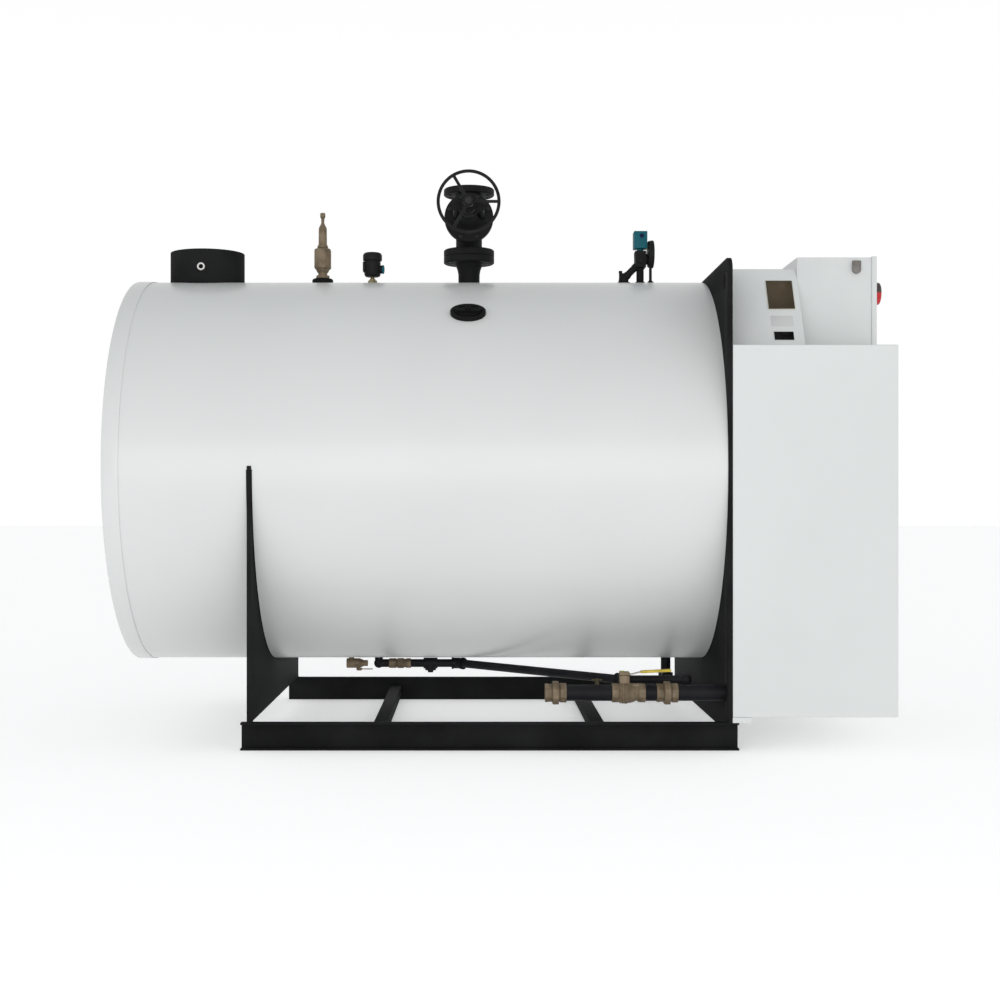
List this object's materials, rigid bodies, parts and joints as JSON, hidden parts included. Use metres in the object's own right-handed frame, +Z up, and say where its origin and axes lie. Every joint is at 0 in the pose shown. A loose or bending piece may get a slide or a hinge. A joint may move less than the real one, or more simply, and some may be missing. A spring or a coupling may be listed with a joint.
{
  "type": "horizontal fire-tube steam boiler",
  "caption": "Packaged horizontal steam boiler: white jacketed drum on a black two-rail skid with burner cabinet, steam gate valve, vent collar, safety valve, gas line and drain piping.",
  "frame": {"origin": "on the floor, midway between the two ends of the boiler and on its centreline", "axes": "+X from the rear cap to the burner end, +Z up, -Y the side with the gas line"},
  "size_m": [2.9694, 1.56, 2.2159],
  "materials": {
    "jacket_white": "white enamelled steel jacket, satin",
    "cabinet_white": "white powder coat",
    "frame_black": "black paint, satin",
    "iron_black": "black painted cast iron",
    "pipe_black": "black steel pipe",
    "bronze": "aged cast bronze",
    "brass": "plain brass",
    "steel": "plated steel",
    "black_plastic": "black plastic case",
    "teal_plastic": "teal plastic case",
    "yellow_plastic": "yellow dipped vinyl",
    "screen_glass": "dark display window",
    "lamp_red": "red and dark grey lamp"
  },
  "bodies": {
    "boiler": {"burner_cabinet": "cabinet_white", "cabinet_brackets": "steel", "control_console": "cabinet_white", "cover_latch": "steel", "cross_member_front": "frame_black", "cross_member_rear": "frame_black", "drain_drop": "pipe_black", "drain_header": "pipe_black", "drain_riser": "pipe_black", "drain_union": "bronze", "drain_valve": "bronze", "front_plate": "frame_black", "gas_ball_valve": "bronze", "gas_petcock": "bronze", "gas_pipes": "pipe_black", "gas_union_burner": "bronze", "gas_union_inlet": "bronze", "gauge_siphon": "pipe_black", "handhole_cover": "iron_black", "handhole_ring": "iron_black", "housing_cover_panel": "cabinet_white", "indicator_lamp": "lamp_red", "jacket_shell": "jacket_white", "operator_screen": "screen_glass", "pressure_gauge": "black_plastic", "pressure_manifold": "iron_black", "pressure_transmitter": "teal_plastic", "probe_housing": "black_plastic", "probe_nipple": "brass", "probe_plug": "teal_plastic", "rear_access_cover": "jacket_white", "rear_end_cap": "jacket_white", "rear_saddle": "frame_black", "safety_valve": "bronze", "safety_valve_bushing": "iron_black", "skid_rail_left": "frame_black", "skid_rail_right": "frame_black", "steam_nozzle": "iron_black", "steam_valve_body": "iron_black", "steam_valve_bonnet": "iron_black", "steam_valve_stem": "steel", "upper_housing": "cabinet_white", "vent_collar": "frame_black", "vent_test_coupling": "steel"},
    "steam_handwheel": {"steam_valve_handwheel": "iron_black"},
    "gas_lever": {"gas_valve_lever": "steel", "gas_valve_grip": "yellow_plastic"},
    "petcock_key": {"petcock_handle": "bronze"}
  },
  "joints": [
    {"name": "steam_valve_turn", "type": "hinge", "parent": "boiler", "child": "steam_handwheel", "pos_m": [-0.11905, -0.477, 2.0747], "axis": [0, -1, 0], "continuous": true},
    {"name": "gas_lever_turn", "type": "hinge", "parent": "boiler", "child": "gas_lever", "pos_m": [0.46145, -0.7, 0.2692], "axis": [0, 0, -1], "range_deg": [0, 90]},
    {"name": "petcock_turn", "type": "hinge", "parent": "boiler", "child": "petcock_key", "pos_m": [0.35965, -0.7, 0.24735], "axis": [0, 0, 1], "range_deg": [0, 90]}
  ]
}
